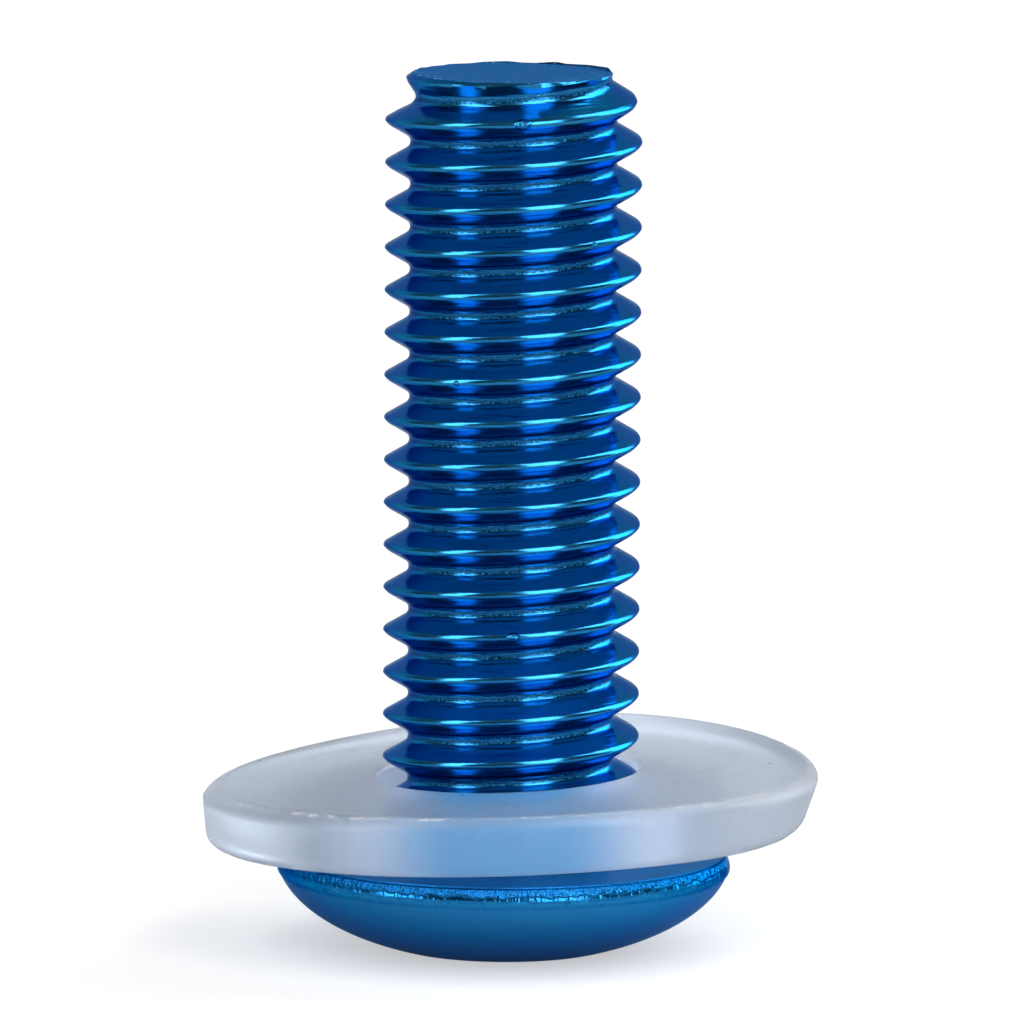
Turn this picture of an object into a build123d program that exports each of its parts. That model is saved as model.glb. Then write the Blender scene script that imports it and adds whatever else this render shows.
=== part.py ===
"""Low domed machine screw with an M6 thread, standing on its head, with a plastic washer on it.

The screw's axis is +Z. The origin is the middle of the flat ring round the hex socket, which the
screw stands on. All sizes are in millimetres and all angles in degrees.
"""
from build123d import *
import math
import os

os.makedirs("parts", exist_ok=True)

# thread, M6 x 1 right hand
thread_major_dia = 5.97
thread_pitch = 1.0
thread_flank_angle = 60.0
thread_crest_flat = 0.125
thread_root_flat = 0.167
groove_below_tip = 0.11  # from the end face down to the middle of the groove, on the +X side
tip_chamfer_depth = 0.405
tip_chamfer_length = 0.8

# shank
shank_length = 18.37
neck_length = 0.95
neck_undercut = 0.06
neck_chamfer = 0.13

# head
head_dia = 10.69
head_height = 2.2
rim_chamfer = 0.08

# hex socket
socket_sides = 6
socket_across_flats = 4.0
socket_depth = 1.5
socket_cone_angle = 118.0
socket_rim = 0.23  # flat left between the socket's corners and the dome

# washer
washer_outer_dia = 14.4
washer_thickness = 1.44
washer_edge_chamfer = 0.19
washer_bore_chamfer = 0.1
washer_bore_clearance = 0.045  # room between the leaning bore and the thread
washer_head_gap = 0.28  # room between the head's rim and the washer, on the washer's low side
washer_tilt = 2.36
washer_high_side = 17.0  # direction of the washer's highest point, turned from +X

# turns that the groove's cutter runs on past the end face
cutter_extra_turns = 2

# worked out from the sizes above
flank_slope = math.tan(math.radians(thread_flank_angle / 2))
thread_depth = (thread_pitch - thread_crest_flat - thread_root_flat) / 2 / flank_slope
major_radius = thread_major_dia / 2
root_radius = major_radius - thread_depth
neck_radius = root_radius - neck_undercut
neck_top = head_height + neck_length
tip_height = head_height + shank_length
tip_radius = major_radius - tip_chamfer_depth
head_radius = head_dia / 2
rim_height = head_height - rim_chamfer
socket_radius = socket_across_flats / 2
socket_corner_radius = socket_radius / math.cos(math.pi / socket_sides)
socket_cone_depth = socket_radius / math.tan(math.radians(socket_cone_angle / 2))
head_flat_radius = socket_corner_radius + socket_rim
dome_angle = math.degrees(math.acos(head_flat_radius / head_radius))
dome_depth = rim_height / math.sin(math.radians(dome_angle))

# ---- the groove between the threads, wound up the shank one turn after another
root_half_width = thread_root_flat / 2
outer_half_width = thread_pitch / 2 - thread_crest_flat / 4
groove_outer = root_radius + (outer_half_width - root_half_width) / flank_slope
groove_start = head_height + outer_half_width + neck_undercut
groove_end = tip_height + cutter_extra_turns * thread_pitch
groove_turns = math.ceil((groove_end - groove_start) / thread_pitch)
groove_angle = (groove_start - tip_height + groove_below_tip) / thread_pitch * 360

with BuildPart() as thread_groove:
    with BuildLine() as groove_path:
        for turn in range(groove_turns):
            turn_start = (0, 0, groove_start + turn * thread_pitch)
            Helix(thread_pitch, thread_pitch, root_radius, center=turn_start)
    with BuildSketch(Plane.XZ):
        with BuildLine():
            Polyline(
                (root_radius, groove_start - root_half_width),
                (root_radius, groove_start + root_half_width),
                (groove_outer, groove_start + outer_half_width),
                (groove_outer, groove_start - outer_half_width),
                close=True,
            )
        make_face()
    sweep(path=groove_path.wires()[0], is_frenet=True)

# ---- screw
with BuildPart() as screw:
    with BuildSketch(Plane.XZ):
        with BuildLine():
            Line((0, 0), (head_flat_radius, 0))
            EllipticalCenterArc(
                (0, rim_height), head_radius, dome_depth,
                start_angle=-dome_angle, arc_size=dome_angle,
            )
            Polyline(
                (head_radius, rim_height),
                (head_radius - rim_chamfer, head_height),
                (neck_radius + neck_chamfer, head_height),
                (neck_radius, head_height + neck_chamfer),
                (neck_radius, neck_top),
                (major_radius, neck_top + major_radius - neck_radius),
                (major_radius, tip_height - tip_chamfer_length),
                (tip_radius, tip_height),
                (0, tip_height),
                (0, 0),
            )
        make_face()
    revolve(axis=Axis.Z)

    # hex socket with a drilled, conical bottom
    with BuildSketch(Plane.XY):
        RegularPolygon(socket_radius, socket_sides, major_radius=False)
    extrude(amount=socket_depth, mode=Mode.SUBTRACT)
    with Locations((0, 0, socket_depth + socket_cone_depth / 2)):
        Cone(socket_radius, 0, socket_cone_depth, mode=Mode.SUBTRACT)

    add(thread_groove.part.rotate(Axis.Z, groove_angle), mode=Mode.SUBTRACT)
screw.part.label = "screw"
export_step(screw.part, "parts/screw.step")

# ---- washer, leaning on the thread and gripping it
tilt = math.radians(washer_tilt)
high_side = math.radians(washer_high_side)
half_thickness = washer_thickness / 2
bore_radius = (
    major_radius + washer_bore_clearance + half_thickness * math.sin(tilt)
) / math.cos(tilt)
washer_lift = washer_head_gap + head_radius * math.tan(tilt)
washer_middle = head_height + washer_lift + half_thickness / math.cos(tilt)
washer_normal = (
    -math.sin(tilt) * math.cos(high_side),
    -math.sin(tilt) * math.sin(high_side),
    math.cos(tilt),
)

with BuildPart() as washer:
    with BuildSketch(Plane(origin=(0, 0, washer_middle), z_dir=washer_normal)):
        Circle(washer_outer_dia / 2)
        Circle(bore_radius, mode=Mode.SUBTRACT)
    extrude(amount=half_thickness, both=True)
    rings = edges().filter_by(GeomType.CIRCLE).sort_by(SortBy.RADIUS)
    chamfer(rings[:2], washer_bore_chamfer)
    chamfer(rings[-2:], washer_edge_chamfer)
washer.part.label = "washer"
export_step(washer.part, "parts/washer.step")
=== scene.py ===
"""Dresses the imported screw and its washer: fine meshes, finishes, floor, lights and camera."""
import math

import bmesh
import bpy
import numpy as np
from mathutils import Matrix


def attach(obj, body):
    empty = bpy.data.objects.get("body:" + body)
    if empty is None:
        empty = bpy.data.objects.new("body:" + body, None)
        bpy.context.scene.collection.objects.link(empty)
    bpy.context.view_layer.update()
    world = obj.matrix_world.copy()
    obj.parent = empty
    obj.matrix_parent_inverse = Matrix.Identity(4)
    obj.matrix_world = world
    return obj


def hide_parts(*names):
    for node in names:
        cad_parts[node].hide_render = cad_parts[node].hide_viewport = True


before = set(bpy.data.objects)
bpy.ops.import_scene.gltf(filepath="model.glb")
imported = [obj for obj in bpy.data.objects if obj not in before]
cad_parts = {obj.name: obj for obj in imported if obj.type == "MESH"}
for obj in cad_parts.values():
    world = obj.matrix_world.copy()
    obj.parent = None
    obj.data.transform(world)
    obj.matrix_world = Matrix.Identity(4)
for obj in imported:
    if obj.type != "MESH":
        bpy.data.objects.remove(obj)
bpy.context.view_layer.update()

MM = 0.001

# sizes in millimetres, as in the part's source
SEGMENTS = 180
PITCH = 1.0
CREST_RADIUS = 3.0
# the crest, from the upper flank to the lower: each arc's radius and the tilt of its normal where it ends
CREST_ARCS = ((0.11, 5), (0.045, -35), (0.42, -60))
ROOT_ROUND = 0.17
CREST_AT_X = 19.96  # height of one crest on the +X side
FLANK = math.radians(60)  # from the radius to a flank's normal

TIP_HEIGHT = 20.57
TIP_LEAN = 0.018  # the end face was cut a little askew, high towards -Y
TIP_RADIUS = 2.38
TIP_SLOPE = 1.5
TIP_ROOT_RADIUS = 2.29
# how the thread runs out under the end face: what it is worth at each distance below it
RUN_OUT_DEPTH = ((-0.14, 0.11, 0.36, 0.67), (0.4, 0.38, 0.8, 1))
RUN_OUT_CREST = ((0.36, 0.61, 0.87), (2.8, 2.91, CREST_RADIUS))
RUN_OUT_SLANT = ((0.61, 0.95), (0.25, 0))
RUN_OUT_CORE = (0.57, 0.87)
BURR_HEIGHT = 0.07
BURR_SPAN = (0.1, 0.25, 1.4)  # radians from +X where it starts, is highest and ends
BURR_TEETH = 50
BURR_TOOTH_HEIGHT = 0.04
NECK_RADIUS = 2.31
NECK_TOP = 3.15
NECK_ROUND = 0.15

HEAD_HEIGHT = 2.2
HEAD_RADIUS = 5.344
HEAD_SHIFT = -0.15  # the head was pressed a little off the shank's axis
RIM_SECTION = (
    (5.19, 0), (5.205, 0.02), (5.22, 0.05), (5.245, 0.10), (5.27, 0.16), (5.288, 0.21),
    (5.297, 0.25), (5.306, 0.30), (5.309, 0.35), (5.301, 0.40), (5.28, 0.45), (5.252, 0.49),
)
DOME_DROP = 0.52  # from the bearing face down to where the dome starts
DOME_ROWS = 48
FLAT_RADIUS = 2.54
SOCKET_RADIUS = 2.0
SOCKET_DEPTH = 1.5
SOCKET_CONE = 1.2
SOCKET_BREAK = 0.03  # chamfer at its mouth

WASHER_RADIUS = 7.206
WASHER_THICKNESS = 1.44
WASHER_ROUND = 0.29
WASHER_LOWER_ROUND = 0.36
WASHER_MIDDLE = 3.42
WASHER_SLOPES = (math.tan(math.radians(2.26)), math.tan(math.radians(0.69)))
# the outer edge's warp: waves round the washer, each with its cosine and sine part
WASHER_WARP = ((2, -0.123, 0.074), (3, -0.038, -0.017))
FOOT_TUCK = (0.25, 0.15)  # how far the outer wall's foot is tucked in: all round, and more towards +X
BROW_TUCK = 0.15  # how far its upper edge is tucked in on the -X side
BORE_RADIUS = 3.08
BORE_SHIFT = -0.07
BORE_ROUND = 0.1


# ---- meshes

def wrapped_grid(points, shift=0):
    """Vertices and faces of rows of points round an axis; the seam joins row j to row j + shift."""
    rows, columns, _ = points.shape
    faces = []
    for j in range(rows - 1):
        for i in range(columns - 1):
            a = j * columns + i
            faces.append((a, a + 1, a + columns + 1, a + columns))
        if j + shift < rows - 1:
            a = j * columns + columns - 1
            b = (j + shift) * columns
            faces.append((a, b, b + columns, a + columns))
    return points.reshape(-1, 3), faces


def mesh_object(name, grids, materials, sharp_angle):
    """One welded object of several grids, each a (points, shift, material number)."""
    mesh = bpy.data.meshes.new(name)
    bm = bmesh.new()
    for points, shift, number in grids:
        coordinates, faces = wrapped_grid(points * MM, shift)
        corners = [bm.verts.new(p) for p in coordinates]
        for face in faces:
            made = bm.faces.new([corners[k] for k in face])
            made.material_index = number
            made.smooth = True
    bmesh.ops.remove_doubles(bm, verts=bm.verts, dist=0.002 * MM)
    bmesh.ops.dissolve_degenerate(bm, edges=bm.edges, dist=0.0005 * MM)
    bmesh.ops.recalc_face_normals(bm, faces=bm.faces)
    bm.to_mesh(mesh)
    bm.free()
    for material in materials:
        mesh.materials.append(material)
    mesh.set_sharp_from_angle(angle=math.radians(sharp_angle))
    made = bpy.data.objects.new(name, mesh)
    bpy.context.collection.objects.link(made)
    return made


def ring(radius, height):
    """One row of points; radius and height are numbers or arrays over the row."""
    angle = np.arange(SEGMENTS) * 2 * np.pi / SEGMENTS
    return np.stack(
        [radius * np.cos(angle), radius * np.sin(angle), height + 0 * angle], axis=-1
    )


def thread_section():
    """One pitch of the thread, root to root, as (height from the crest, radius)."""
    outline = [np.zeros(2)]
    start = FLANK
    for round_, end in CREST_ARCS:
        end = math.radians(end)
        step = (start - end) / 3
        for middle in (start - step / 2, start - step * 1.5, start - step * 2.5):
            outline.append(outline[-1] + round_ * step * np.array([-math.cos(middle), math.sin(middle)]))
        start = end
    outline = np.array(outline)
    upper, lower = outline[0], outline[-1]
    slope = math.tan(FLANK)
    apex_height = (lower[1] - upper[1] - slope * (lower[0] + upper[0])) / (-2 * slope)
    outline = outline - [apex_height, outline[:, 1].max() - CREST_RADIUS]
    apex = outline[0][1] + slope * outline[0][0]
    root_middle = apex - PITCH / 2 * slope + 2 * ROOT_ROUND
    root = []
    for angle in np.radians([60, 40, 20, 0]):
        root.append((PITCH / 2 - ROOT_ROUND * np.sin(angle), root_middle - ROOT_ROUND * np.cos(angle)))
    root = np.array(root)
    mirrored = root * [-1, 1]
    below = [(1 - t) * outline[-1] + t * mirrored[0] for t in (0.5, 0.96)]
    above = [(1 - t) * outline[0] + t * root[0] for t in (0.04, 0.5, 0.96)]
    # from the root under the crest up to the root over it
    rising = list(mirrored[::-1][1:]) + below[::-1] + list(outline[::-1])
    return np.array(rising + above + list(root))


def shank_rows():
    """The threaded shank from its neck to its end face, with the thread running out under both."""
    section = thread_section()
    turns = int(math.ceil((TIP_HEIGHT - HEAD_HEIGHT) / PITCH)) + 3
    first = CREST_AT_X - math.ceil(CREST_AT_X - HEAD_HEIGHT + 2) * PITCH
    height = np.concatenate([first + turn * PITCH + section[:, 0] for turn in range(turns)])
    radius = np.tile(section[:, 1], turns)
    crest = np.repeat(first + np.arange(turns) * PITCH, len(section))
    root_radius = section[:, 1].min()
    bottom = HEAD_HEIGHT + NECK_ROUND
    columns = []
    for angle in np.arange(SEGMENTS) * 2 * np.pi / SEGMENTS:
        z = height + PITCH * angle / (2 * np.pi)
        top = TIP_HEIGHT - TIP_LEAN * TIP_RADIUS * math.sin(angle)
        chamfer = TIP_RADIUS + (top - z) * TIP_SLOPE
        neck = NECK_RADIUS + np.maximum(z - NECK_TOP, 0)
        # over the last turn the thread fades into the end's lip
        below_end = TIP_HEIGHT - crest - PITCH * angle / (2 * np.pi)
        share = np.interp(below_end, *RUN_OUT_DEPTH)
        blunt = np.interp(below_end, *RUN_OUT_CREST)
        blunt = blunt - np.interp(below_end, *RUN_OUT_SLANT) * (height - crest)
        core = np.interp(TIP_HEIGHT - z, RUN_OUT_CORE, (TIP_ROOT_RADIUS, root_radius))
        r = np.minimum(core + share * (radius - root_radius), blunt)
        r = np.minimum(r, np.minimum(chamfer, neck))
        r = np.where(z >= top, np.interp(top, z, r), r)
        r = np.where(z <= bottom, np.interp(bottom, z, r), r)
        z = np.clip(z, bottom, top)
        columns.append(np.stack([r * np.cos(angle), r * np.sin(angle), z], axis=-1))
    return np.stack(columns, axis=1), len(section)


def end_rows(edge):
    """The end face, from the shank's last ring to the middle, ragged and with a burr on one side."""
    angle = np.arange(SEGMENTS) * 2 * np.pi / SEGMENTS
    burr = BURR_HEIGHT * np.interp(angle, BURR_SPAN, (0, 1, 0))
    teeth = np.random.default_rng(5).random(BURR_TEETH) ** 2
    tooth_angle = np.arange(BURR_TEETH) * 2 * np.pi / BURR_TEETH
    burr += BURR_TOOTH_HEIGHT * np.interp(angle, tooth_angle, teeth, period=2 * np.pi)
    middle = np.array([0, 0, TIP_HEIGHT])
    rows = []
    for share in (1, 0.985, 0.965, 0.94, 0.92, 0.86, 0.78, 0.68, 0.56, 0.42, 0.26, 0.12, 0):
        row = share * edge + (1 - share) * middle
        row[:, 2] += burr * np.interp(share, (0.94, 0.965, 0.985, 1), (0, 1, 1, 0))
        rows.append(row)
    return np.stack(rows)


def head_rows():
    """Bearing face, rim and dome, down to the flat round the socket."""
    bearing = []
    for angle in np.radians([0, 30, 60, 90]):
        bearing.append(ring(
            NECK_RADIUS + NECK_ROUND * (1 - math.cos(angle)),
            HEAD_HEIGHT + NECK_ROUND * (1 - math.sin(angle)),
        ))
    for radius in np.linspace(NECK_RADIUS + NECK_ROUND, RIM_SECTION[0][0], 12)[1:]:
        bearing.append(ring(radius, HEAD_HEIGHT))
    rim = [ring(radius, HEAD_HEIGHT - drop) for radius, drop in RIM_SECTION]
    dome_angle = math.acos(FLAT_RADIUS / HEAD_RADIUS)
    dome_depth = HEAD_HEIGHT / math.sin(dome_angle)
    dome = []
    for angle in np.linspace(math.asin(DOME_DROP / dome_depth), dome_angle, DOME_ROWS):
        dome.append(ring(
            HEAD_RADIUS * math.cos(angle), HEAD_HEIGHT - dome_depth * math.sin(angle)
        ))
    rim.append(dome[0])
    for row in bearing:
        row[:, 0] += HEAD_SHIFT * np.interp(row[:, 0].max(), (NECK_RADIUS + NECK_ROUND, 5), (0, 1))
    for row in rim + dome[1:]:
        row[:, 0] += HEAD_SHIFT
    return np.stack(bearing), np.stack(rim), np.stack(dome)


def socket_rows():
    """The flat round the hex socket, its walls and its drilled bottom."""
    angle = np.arange(SEGMENTS) * 2 * np.pi / SEGMENTS
    side = np.pi / 3
    hexagon = SOCKET_RADIUS / np.cos(angle % side - side / 2)
    rows = [ring(FLAT_RADIUS, 0), ring((FLAT_RADIUS + hexagon) / 2, 0), ring(hexagon + SOCKET_BREAK, 0)]
    rows[0][:, 0] += HEAD_SHIFT
    rows[1][:, 0] += HEAD_SHIFT / 2
    for height in np.linspace(SOCKET_BREAK, SOCKET_DEPTH, 8):
        rows.append(ring(hexagon, height))
    rows.append(ring(SOCKET_RADIUS, SOCKET_DEPTH))
    for share in (0.75, 0.5, 0.25, 0):
        rows.append(ring(SOCKET_RADIUS * share, SOCKET_DEPTH + SOCKET_CONE * (1 - share)))
    return np.stack(rows)


def washer_rows():
    """The washer's section carried round its bore, leaning and slightly warped."""
    half = WASHER_THICKNESS / 2
    section = []

    def corner(radius, height, round_, start):
        for angle in np.radians(np.linspace(start, start + 90, 6)):
            section.append((radius + round_ * math.cos(angle), height + round_ * math.sin(angle)))

    def side(start, end, count):
        for t in np.linspace(0, 1, count + 2)[1:-1]:
            section.append(tuple((1 - t) * np.array(start) + t * np.array(end)))

    outer = WASHER_RADIUS - WASHER_ROUND
    inner = BORE_RADIUS + BORE_ROUND
    corner(outer, half - WASHER_ROUND, WASHER_ROUND, 0)
    side(section[-1], (inner, half), 16)
    corner(inner, half - BORE_ROUND, BORE_ROUND, 90)
    wall = len(section)
    side(section[-1], (BORE_RADIUS, BORE_ROUND - half), 6)
    corner(inner, BORE_ROUND - half, BORE_ROUND, 180)
    lower = WASHER_RADIUS - WASHER_LOWER_ROUND
    side(section[-1], (lower, -half), 16)
    corner(lower, WASHER_LOWER_ROUND - half, WASHER_LOWER_ROUND, 270)
    side(section[-1], section[0], 6)
    section.append(section[0])
    rows = []
    for radius, height in section:
        row = ring(radius, height)
        near_bore = (outer - radius) / (outer - BORE_RADIUS)
        row[:, 0] += BORE_SHIFT * max(0, near_bore)
        a = np.arctan2(row[:, 1], row[:, 0])
        # the outer wall is cut askew: tucked in towards its foot, most of all on the +X side
        out = np.clip((radius - inner) / (outer - inner), 0, 1)
        foot = np.clip((half - WASHER_ROUND - height) / (WASHER_THICKNESS - WASHER_ROUND), 0, 1)
        brow = np.clip((height - half + WASHER_ROUND) / WASHER_ROUND, 0, 1)
        tuck = foot * out * (FOOT_TUCK[0] + FOOT_TUCK[1] * np.cos(a))
        tuck += brow * out ** 4 * BROW_TUCK * np.maximum(0, -np.cos(a))
        row[:, :2] *= (1 - tuck / radius)[:, None]
        x, y = row[:, 0], row[:, 1]
        warp = sum(c * np.cos(n * a) + d * np.sin(n * a) for n, c, d in WASHER_WARP)
        warp = warp * (radius / WASHER_RADIUS) ** 4
        row[:, 2] += WASHER_MIDDLE + WASHER_SLOPES[0] * x + WASHER_SLOPES[1] * y + warp
        rows.append(row)
    return np.stack(rows), wall


# ---- finishes

class Finish:
    """A material's node tree with short ways to add nodes. Lengths inside it are in millimetres."""

    def __init__(self, name):
        self.material = bpy.data.materials.new(name)
        self.material.use_nodes = True
        self.nodes = self.material.node_tree.nodes
        self.links = self.material.node_tree.links
        self.surface = self.nodes["Principled BSDF"]
        place = self.nodes.new("ShaderNodeTexCoord").outputs["Object"]
        self.place = self.vector("SCALE", place, scale=1 / MM)
        x, y, z = self.split(self.place)
        self.x, self.y, self.height = x, y, z
        squares = self.math("ADD", self.math("MULTIPLY", x, x), self.math("MULTIPLY", y, y))
        self.radius = self.math("SQRT", squares)

    def put(self, socket, value):
        """Links a socket's input, or sets it where the value is plain."""
        if isinstance(value, bpy.types.NodeSocket):
            self.links.new(value, socket)
        else:
            socket.default_value = value

    def set(self, **values):
        for name, value in values.items():
            self.put(self.surface.inputs[name.replace("_", " ")], value)

    def math(self, operation, a, b=0.0):
        node = self.nodes.new("ShaderNodeMath")
        node.operation = operation
        self.put(node.inputs[0], a)
        self.put(node.inputs[1], b)
        return node.outputs[0]

    def vector(self, operation, a, b=None, scale=None):
        node = self.nodes.new("ShaderNodeVectorMath")
        node.operation = operation
        self.put(node.inputs[0], a)
        if b is not None:
            self.put(node.inputs[1], b)
        if scale is not None:
            self.put(node.inputs["Scale"], scale)
        return node.outputs[0]

    def split(self, vector):
        node = self.nodes.new("ShaderNodeSeparateXYZ")
        self.put(node.inputs[0], vector)
        return node.outputs

    def noise(self, vector, scale, detail=2.0, roughness=0.5):
        node = self.nodes.new("ShaderNodeTexNoise")
        self.put(node.inputs["Vector"], vector)
        node.inputs["Scale"].default_value = scale
        node.inputs["Detail"].default_value = detail
        node.inputs["Roughness"].default_value = roughness
        return node.outputs["Fac"]

    def range(self, value, low, high, to_low=0.0, to_high=1.0):
        """Maps low..high to to_low..to_high and clamps."""
        node = self.nodes.new("ShaderNodeMapRange")
        self.put(node.inputs["Value"], value)
        for name, number in zip(("From Min", "From Max", "To Min", "To Max"), (low, high, to_low, to_high)):
            self.put(node.inputs[name], number)
        return node.outputs[0]

    def mix(self, factor, a, b):
        node = self.nodes.new("ShaderNodeMix")
        node.data_type = "RGBA"
        self.put(node.inputs["Factor"], factor)
        self.put(node.inputs["A"], a)
        self.put(node.inputs["B"], b)
        return node.outputs["Result"]

    def spot(self, middle, reach):
        """1 within 0.6 of the reach from a place, and 0 beyond the reach."""
        node = self.nodes.new("ShaderNodeVectorMath")
        node.operation = "DISTANCE"
        self.put(node.inputs[0], self.place)
        self.put(node.inputs[1], middle)
        return self.range(node.outputs["Value"], reach, 0.6 * reach)

    def bump(self, height, distance=1.0):
        """Bump of a height that is given in units of distance, itself in millimetres."""
        node = self.nodes.new("ShaderNodeBump")
        node.inputs["Distance"].default_value = distance * MM
        self.put(node.inputs["Height"], height)
        return node.outputs["Normal"]


BLUE = (0.026, 0.25, 0.52, 1)
DEEP_BLUE = (0.021, 0.222, 0.485, 1)
# painted shade for the thread's roots
ROOT_SHADE_BLUE = (0.006, 0.09, 0.24, 1)
END_BLUE = (0.05, 0.22, 0.5, 1)
SATIN_BLUE = (0.02, 0.27, 0.63, 1)
RIM_BLUE = (0.012, 0.19, 0.5, 1)
BEARING_BLUE = (0.06, 0.33, 0.62, 1)
EDGE_TINT = (0.06, 0.28, 0.62, 1)


# where a crest is dented, and how far each dent reaches, in millimetres
CREST_DENTS = (
    ((0.22, -2.99, 19.71), 0.2), ((2.25, -0.7, 20.5), 0.2), ((0.05, -3.0, 7.71), 0.16),
    ((-1.3, -2.7, 13.62), 0.08), ((1.9, -2.32, 16.84), 0.08), ((-1.8, 2.4, 15.3), 0.14),
    ((2.6, 1.5, 9.04), 0.12), ((-2.95, 0.5, 5.43), 0.1), ((0.9, 2.86, 18.2), 0.12),
)


def anodised(name, roughness, rough_change, coat, colour=None):
    """Anodised metal of one colour, or of a blue that drifts a little."""
    finish = Finish(name)
    finish.set(Metallic=1.0, Specular_Tint=EDGE_TINT)
    finish.set(Coat_Weight=coat, Coat_Roughness=0.06, Coat_IOR=1.5)
    if colour is None:
        colour = finish.mix(finish.noise(finish.place, 0.8, 3), DEEP_BLUE, BLUE)
    finish.set(Base_Color=colour)
    grain = finish.noise(finish.place, 9, 3)
    finish.set(Roughness=finish.range(grain, 0.3, 0.7, roughness, roughness + rough_change))
    return finish


def thread_finish():
    finish = anodised("anodised_thread", 0.14, 0.06, 0.08)
    streaks = finish.noise(finish.vector("MULTIPLY", finish.place, (0.6, 0.6, 14)), 1, 3)
    height = finish.math("MULTIPLY", streaks, 0.012)
    # the root is painted darker, as shade in the groove, and finely pitted by the rolling
    turn = finish.math("DIVIDE", finish.math("ARCTAN2", finish.y, finish.x), 2 * math.pi)
    unwound = finish.math("SUBTRACT", finish.height, turn)
    above_root = finish.math("SUBTRACT", unwound, CREST_AT_X - PITCH / 2)
    root = finish.range(finish.math("PINGPONG", above_root, PITCH / 2), 0.07, 0.03)
    pits = finish.range(finish.noise(finish.place, 17, 1), 0.5, 0.64)
    pitted = finish.math("MULTIPLY", root, finish.math("MULTIPLY", pits, 0.01))
    height = finish.math("ADD", height, pitted)
    # painted shade: the colour is darkened in the roots
    unshaded_colour = finish.surface.inputs["Base Color"].links[0].from_socket
    finish.set(Base_Color=finish.mix(finish.math("MULTIPLY", root, 0.8), unshaded_colour, ROOT_SHADE_BLUE))
    # dents in the crests
    dent = 0.0
    for place, reach in CREST_DENTS:
        dent = finish.math("MAXIMUM", finish.spot(place, reach), dent)
    torn = finish.noise(finish.place, 9, 2)
    height = finish.math("ADD", height, finish.math("MULTIPLY", dent, finish.math("MULTIPLY", torn, 0.08)))
    finish.set(Normal=finish.bump(height))
    return finish.material


def dome_finish():
    finish = anodised("anodised_dome", 0.36, 0.08, 0.15, SATIN_BLUE)
    grain = finish.noise(finish.place, 22, 2)
    finish.set(Normal=finish.bump(grain, 0.006))
    return finish.material


def bearing_finish():
    return anodised("anodised_bearing", 0.45, 0.08, 0.1, BEARING_BLUE).material


def rim_finish():
    """The rim: a beaten band under the bearing face, then a satin edge with upright scratches."""
    finish = anodised("anodised_rim", 0.12, 0.06, 0.0, RIM_BLUE)
    wander = finish.noise(finish.place, 3, 3)
    level = finish.math("ADD", finish.height, finish.range(wander, 0.3, 0.7, -0.05, 0.05))
    lower = finish.range(level, HEAD_HEIGHT - 0.24, HEAD_HEIGHT - 0.2)
    upper = finish.range(finish.height, HEAD_HEIGHT - 0.02, HEAD_HEIGHT - 0.06)
    beaten = finish.math("MULTIPLY", lower, upper)
    satin = finish.range(level, HEAD_HEIGHT - 0.33, HEAD_HEIGHT - 0.38)
    finish.set(Base_Color=finish.mix(satin, RIM_BLUE, SATIN_BLUE))
    rough = finish.surface.inputs["Roughness"].links[0].from_socket
    finish.set(Roughness=finish.math("ADD", rough, finish.math("MULTIPLY", satin, 0.2)))
    marks = finish.noise(finish.vector("MULTIPLY", finish.place, (9, 9, 5)), 1, 2)
    upright = finish.noise(finish.vector("MULTIPLY", finish.place, (7, 7, 1.2)), 1, 2)
    scratches = finish.range(upright, 0.5, 0.66)
    height = finish.math("MULTIPLY", beaten, finish.math("MULTIPLY", marks, 0.08))
    height = finish.math("ADD", height, finish.math("MULTIPLY", scratches, 0.01))
    finish.set(Normal=finish.bump(height))
    return finish.material


def end_finish():
    """The end face as it was sawn: dull and grainy, with painted glints as bright specks near its edge, and
    a dark burr.
    """
    finish = anodised("anodised_end", 0.42, 0.1, 0.0, END_BLUE)
    around = finish.math("ARCTAN2", finish.y, finish.x)
    burr = finish.math("MULTIPLY", finish.range(finish.radius, 2.15, 2.22), finish.range(around, 0.0, 0.2))
    burr = finish.math("MULTIPLY", burr, finish.range(around, 1.6, 1.2))
    # painted glints: bright specks near the edge, lightened in colour and raised a little by the bump
    glint_flecks = finish.range(finish.noise(finish.place, 9, 2), 0.62, 0.7)
    glint_flecks = finish.math("MULTIPLY", glint_flecks, finish.range(finish.radius, 1.5, 2.3))
    colour = finish.mix(finish.math("MULTIPLY", burr, 0.9), END_BLUE, (0.003, 0.03, 0.09, 1))
    colour = finish.mix(finish.math("MULTIPLY", glint_flecks, 0.8), colour, (0.3, 0.7, 0.95, 1))
    finish.set(Base_Color=colour)
    grain = finish.noise(finish.place, 12, 3)
    height = finish.math("ADD", finish.math("MULTIPLY", grain, 0.01), finish.math("MULTIPLY", glint_flecks, 0.02))
    finish.set(Normal=finish.bump(height))
    return finish.material


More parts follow.
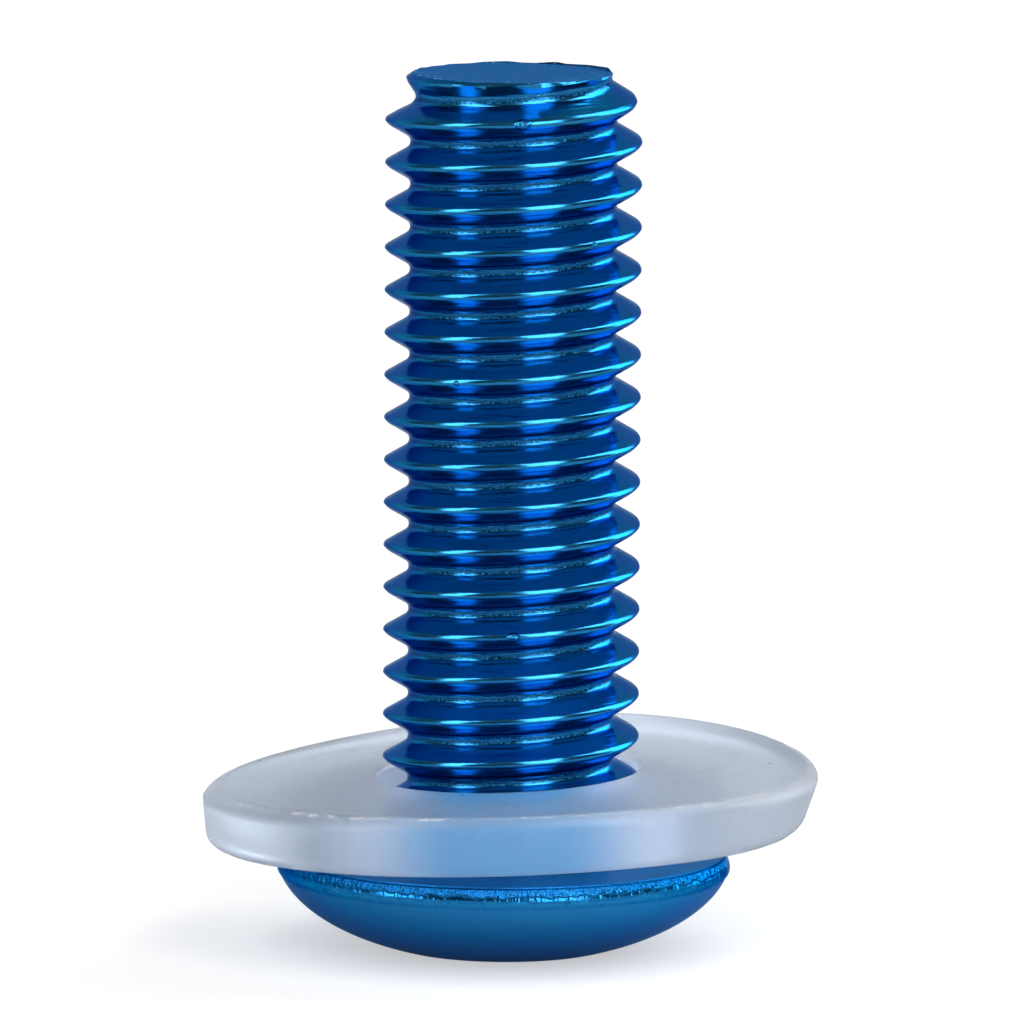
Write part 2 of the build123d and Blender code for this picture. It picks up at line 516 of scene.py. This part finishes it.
def nylon_finish():
    finish = Finish("milky_nylon")
    cloud = finish.noise(finish.place, 0.5, 2)
    colour = finish.mix(cloud, (0.71, 0.81, 0.98, 1), (0.77, 0.86, 1.0, 1))
    # fine upright scratches round the wall
    turning = finish.noise(finish.vector("MULTIPLY", finish.place, (5, 5, 0.4)), 1, 3)
    on_wall = finish.range(finish.radius, 7.0, 7.15)
    scratched = finish.math("MULTIPLY", on_wall, finish.range(turning, 0.5, 0.7))
    colour = finish.mix(finish.math("MULTIPLY", scratched, 0.35), colour, (0.9, 0.95, 1, 1))
    # thin frayed white lines along the upper outer edge and round the mouth of the bore: torn nylon, and a
    # painted highlight along those edges
    lean = finish.math("ADD", finish.math("MULTIPLY", finish.x, WASHER_SLOPES[0]), WASHER_MIDDLE)
    upper = finish.range(finish.math("SUBTRACT", finish.height, lean), 0.3, 0.4)
    outer_edge = finish.range(finish.radius, 7.08, 7.04)
    edge = finish.math("MULTIPLY", finish.range(finish.radius, 6.93, 6.97), outer_edge)
    edge = finish.math("MAXIMUM", edge, finish.range(finish.radius, 3.24, 3.2))
    frayed = finish.range(finish.noise(finish.place, 5, 3, 0.7), 0.5, 0.6)
    torn_edge_and_highlight = finish.math("MULTIPLY", finish.math("MULTIPLY", upper, edge), frayed)
    colour = finish.mix(finish.math("MULTIPLY", torn_edge_and_highlight, 0.7), colour, (1, 1, 1, 1))
    # a few dark specks of dust
    dust = finish.range(finish.noise(finish.place, 3.2, 1), 0.215, 0.19)
    colour = finish.mix(finish.math("MULTIPLY", dust, 0.8), colour, (0.05, 0.06, 0.10, 1))
    finish.set(Base_Color=colour)
    clear = finish.math("SUBTRACT", 0.9, finish.math("MULTIPLY", finish.math("MAXIMUM", torn_edge_and_highlight, dust), 0.5))
    finish.set(Transmission_Weight=clear, IOR=1.53, Subsurface_Weight=1.0, Subsurface_Scale=1.5 * MM)
    finish.set(Subsurface_Radius=(1.0, 1.0, 1.0))
    grain = finish.noise(finish.place, 5, 3)
    rough = finish.range(grain, 0.3, 0.7, 0.36, 0.44)
    finish.set(Roughness=finish.math("ADD", rough, finish.math("MULTIPLY", scratched, 0.12)))
    return finish.material


def bore_painted_blue_finish():
    """The bore wall: on its -Y side a painted reflection of the thread's blue, elsewhere it lets light
    through.
    """
    finish = Finish("bore_wall_painted_blue")
    # painted reflection: the thread's blue is painted onto the bore wall's -Y side
    painted_thread_reflection = finish.range(finish.y, -1.9, -2.8)
    cloud = finish.noise(finish.place, 1.5, 2)
    blue = finish.mix(cloud, (0.02, 0.34, 0.68, 1), (0.04, 0.44, 0.8, 1))
    finish.set(Base_Color=finish.mix(painted_thread_reflection, (0.78, 0.84, 0.95, 1), blue), Roughness=0.5)
    clear = finish.nodes.new("ShaderNodeBsdfTranslucent")
    clear.inputs["Color"].default_value = (0.7, 0.78, 0.92, 1)
    both = finish.nodes.new("ShaderNodeMixShader")
    finish.put(both.inputs["Fac"], finish.range(finish.y, -1.2, 0.2, 0.0, 0.9))
    finish.links.new(finish.surface.outputs[0], both.inputs[1])
    finish.links.new(clear.outputs[0], both.inputs[2])
    output = finish.nodes["Material Output"]
    finish.links.new(both.outputs[0], output.inputs["Surface"])
    return finish.material


# ---- studio

def lit_floor():
    """A plain pale floor that shows as white, with the object's shadow on it."""
    bpy.ops.mesh.primitive_plane_add(size=4)
    floor = bpy.context.object
    floor.name = "floor"
    material = bpy.data.materials.new("paper")
    material.use_nodes = True
    nodes = material.node_tree.nodes
    links = material.node_tree.links
    nodes.clear()
    paper = nodes.new("ShaderNodeBsdfDiffuse")
    paper.inputs["Color"].default_value = (0.5, 0.5, 0.5, 1)
    glow = nodes.new("ShaderNodeEmission")
    rays = nodes.new("ShaderNodeLightPath")
    strength = None
    for ray, share in (("Is Camera Ray", 0.5), ("Is Glossy Ray", 0.05), ("Is Transmission Ray", 0.5)):
        part = nodes.new("ShaderNodeMath")
        part.operation = "MULTIPLY_ADD"
        links.new(rays.outputs[ray], part.inputs[0])
        part.inputs[1].default_value = share
        if strength is None:
            part.inputs[2].default_value = 0
        else:
            links.new(strength, part.inputs[2])
        strength = part.outputs[0]
    links.new(strength, glow.inputs["Strength"])
    both = nodes.new("ShaderNodeAddShader")
    links.new(paper.outputs[0], both.inputs[0])
    links.new(glow.outputs[0], both.inputs[1])
    output = nodes.new("ShaderNodeOutputMaterial")
    links.new(both.outputs[0], output.inputs[0])
    floor.data.materials.append(material)


def studio_world():
    """A pale backdrop behind the object, a pale cove round the floor and a dim room.

    The camera itself sees white all round, and what the nylon lets through is pale.
    """
    world = bpy.data.worlds.new("studio")
    bpy.context.scene.world = world
    world.use_nodes = True
    nodes = world.node_tree.nodes
    links = world.node_tree.links
    toward = nodes.new("ShaderNodeTexCoord").outputs["Generated"]
    parts = nodes.new("ShaderNodeSeparateXYZ")
    links.new(toward, parts.inputs[0])

    def smooth(socket, low, high, to_low, to_high):
        node = nodes.new("ShaderNodeMapRange")
        node.interpolation_type = "SMOOTHSTEP"
        links.new(socket, node.inputs["Value"])
        for name, value in zip(("From Min", "From Max", "To Min", "To Max"), (low, high, to_low, to_high)):
            node.inputs[name].default_value = value
        return node.outputs[0]

    def highest(a, b):
        node = nodes.new("ShaderNodeMath")
        node.operation = "MAXIMUM"
        links.new(a, node.inputs[0])
        links.new(b, node.inputs[1])
        return node.outputs[0]

    behind = smooth(parts.outputs["Y"], 0.1, 0.6, 0.0, 1.0)
    low = smooth(parts.outputs["Z"], 0.3, 0.7, 0.62, 0.3)
    backdrop = nodes.new("ShaderNodeMath")
    backdrop.operation = "MULTIPLY"
    links.new(behind, backdrop.inputs[0])
    links.new(low, backdrop.inputs[1])
    room = smooth(parts.outputs["Z"], 0.2, 0.8, 0.08, 0.17)
    cove = smooth(parts.outputs["Z"], 0.03, 0.12, 0.6, 0.0)
    level = highest(highest(backdrop.outputs[0], room), cove)
    rays = nodes.new("ShaderNodeLightPath")
    through = nodes.new("ShaderNodeMath")
    through.operation = "MULTIPLY"
    links.new(rays.outputs["Is Transmission Ray"], through.inputs[0])
    through.inputs[1].default_value = 0.5
    level = highest(highest(level, rays.outputs["Is Camera Ray"]), through.outputs[0])
    nodes["Background"].inputs["Color"].default_value = (1, 1, 1, 1)
    links.new(level, nodes["Background"].inputs["Strength"])


def softbox(name, azimuth, elevation, lean, width, height, radiance, distance=0.7):
    """An area light that faces the object. Azimuth 0 is the camera's side and 90 is +X."""
    data = bpy.data.lights.new(name, "AREA")
    data.shape = "RECTANGLE"
    data.size = width
    data.size_y = height
    data.energy = radiance * math.pi * width * height
    lamp = bpy.data.objects.new(name, data)
    bpy.context.collection.objects.link(lamp)
    a, e = math.radians(azimuth), math.radians(elevation)
    lamp.location = (
        distance * math.cos(e) * math.sin(a),
        -distance * math.cos(e) * math.cos(a),
        distance * math.sin(e),
    )
    lamp.rotation_mode = "XYZ"
    lamp.rotation_euler = (math.pi / 2 - e, 0, a)
    lamp.rotation_euler.rotate_axis("Z", math.radians(lean))


def photo_camera():
    """A long lens, 8.3 degrees above the floor."""
    data = bpy.data.cameras.new("camera")
    data.sensor_width = 36
    data.lens = 631.8
    camera = bpy.data.objects.new("camera", data)
    bpy.context.collection.objects.link(camera)
    elevation = math.radians(8.33)
    distance = 0.42
    camera.location = (
        0.003 * MM, -distance * math.cos(elevation), 10.235 * MM + distance * math.sin(elevation)
    )
    camera.rotation_mode = "XYZ"
    camera.rotation_euler = (math.pi / 2 - elevation, 0, 0)
    camera.rotation_euler.rotate_axis("Z", math.radians(0.30))
    bpy.context.scene.camera = camera


# ---- the object

shank, section_rows = shank_rows()
bearing, rim, dome = head_rows()
screw = mesh_object(
    "screw_visual",
    [
        (shank, section_rows, 0),
        (end_rows(shank[-1]), 0, 1),
        (bearing, 0, 4),
        (rim, 0, 2),
        (dome, 0, 3),
        (socket_rows(), 0, 0),
    ],
    [thread_finish(), end_finish(), rim_finish(), dome_finish(), bearing_finish()],
    sharp_angle=38,
)
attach(screw, "screw_body")
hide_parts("screw")

washer_points, wall = washer_rows()
washer_grids = [
    (washer_points[:wall], 0, 0),
    (washer_points[wall - 1:wall + 7], 0, 1),
    (washer_points[wall + 6:], 0, 0),
]
washer = mesh_object("washer_visual", washer_grids, [nylon_finish(), bore_painted_blue_finish()], sharp_angle=50)
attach(washer, "washer_body")
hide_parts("washer")

lit_floor()
studio_world()
softbox("left_strip", -61, 34, 12, 0.26, 0.9, 4.0)
softbox("right_strip", 30, 35, -4, 0.38, 1.0, 4.0)
softbox("side_strip", 122, 30, 0, 0.45, 0.9, 4.0)
photo_camera()

bpy.context.scene.view_settings.view_transform = "Standard"
